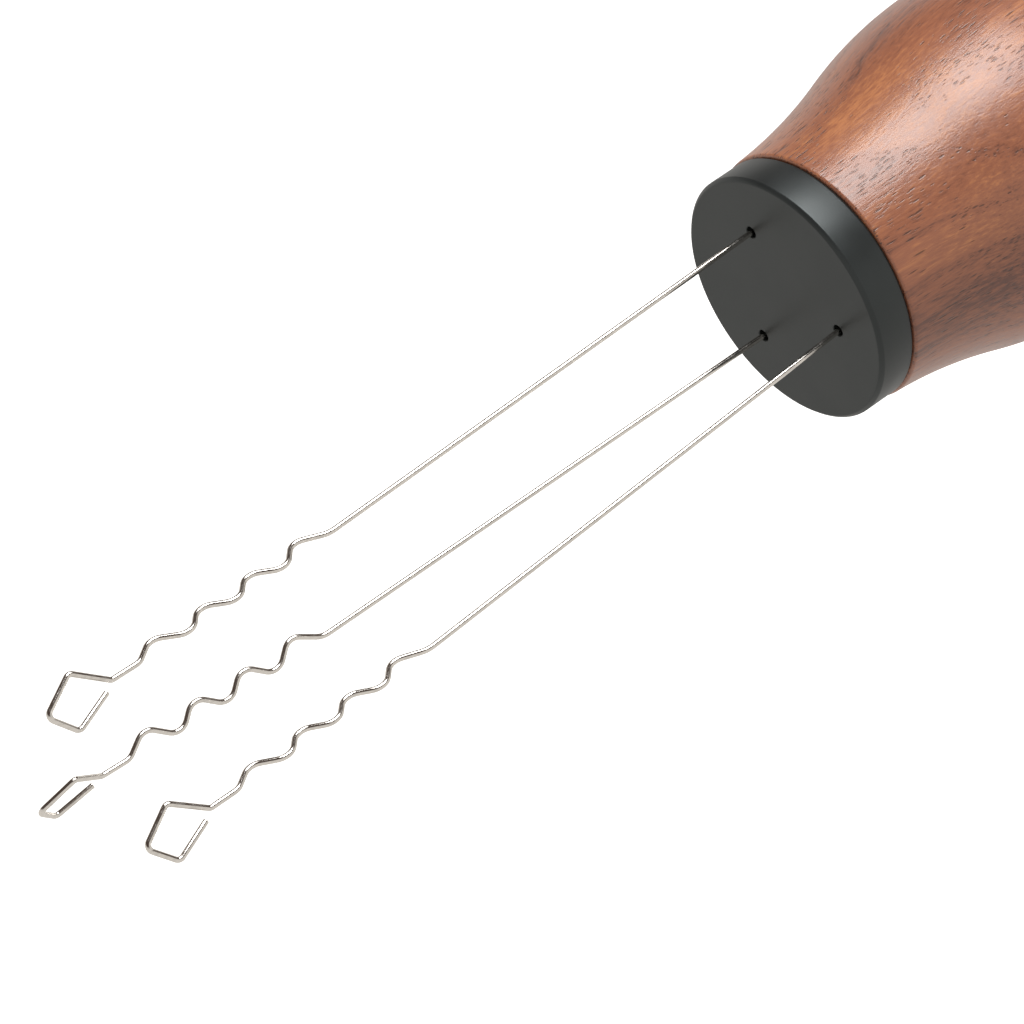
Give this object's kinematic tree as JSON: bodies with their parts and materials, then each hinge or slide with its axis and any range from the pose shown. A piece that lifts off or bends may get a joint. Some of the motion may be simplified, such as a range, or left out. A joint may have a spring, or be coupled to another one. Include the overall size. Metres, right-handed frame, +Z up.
{
  "type": "needle distribution tool",
  "caption": "Hand tool with a turned wooden bulb grip, a round black metal head and thin wire needles, zigzag with open hooks at the tips, for loosening ground coffee.",
  "frame": {"origin": "middle of the grip's flat end", "axes": "+Z up the tool's axis to the needle tips; the first needle leaves the head on the +X side"},
  "size_m": [0.0382, 0.0382, 0.1536],
  "materials": {
    "walnut": "satin varnished walnut",
    "black_anodised": "satin black anodised",
    "spring_steel": "bright drawn stainless wire",
    "brass": "machined",
    "zinc_steel": "zinc plated"
  },
  "bodies": {
    "grip_and_head": {"handle": "walnut", "threaded_insert": "brass", "needle_head": "black_anodised", "head_stud": "zinc_steel", "retaining_plate": "zinc_steel", "plate_screws": "zinc_steel"},
    "needle_body_1": {"needle_1": "spring_steel", "collar_1": "brass"},
    "needle_body_2": {"needle_2": "spring_steel", "collar_2": "brass"},
    "needle_body_3": {"needle_3": "spring_steel", "collar_3": "brass"}
  },
  "joints": [
    {"name": "needle_1_swivel", "type": "hinge", "parent": "grip_and_head", "child": "needle_body_1", "pos_m": [0.0078, 0, 0.0596], "axis": [-0.0122, -0.0366, 0.9993], "continuous": true},
    {"name": "needle_2_swivel", "type": "hinge", "parent": "grip_and_head", "child": "needle_body_2", "pos_m": [-0.0039, 0.00675, 0.0596], "axis": [-0.0146, 0.0601, 0.9981], "continuous": true},
    {"name": "needle_3_swivel", "type": "hinge", "parent": "grip_and_head", "child": "needle_body_3", "pos_m": [-0.0039, -0.00675, 0.0596], "axis": [-0.0333, -0.0472, 0.9983], "continuous": true}
  ]
}
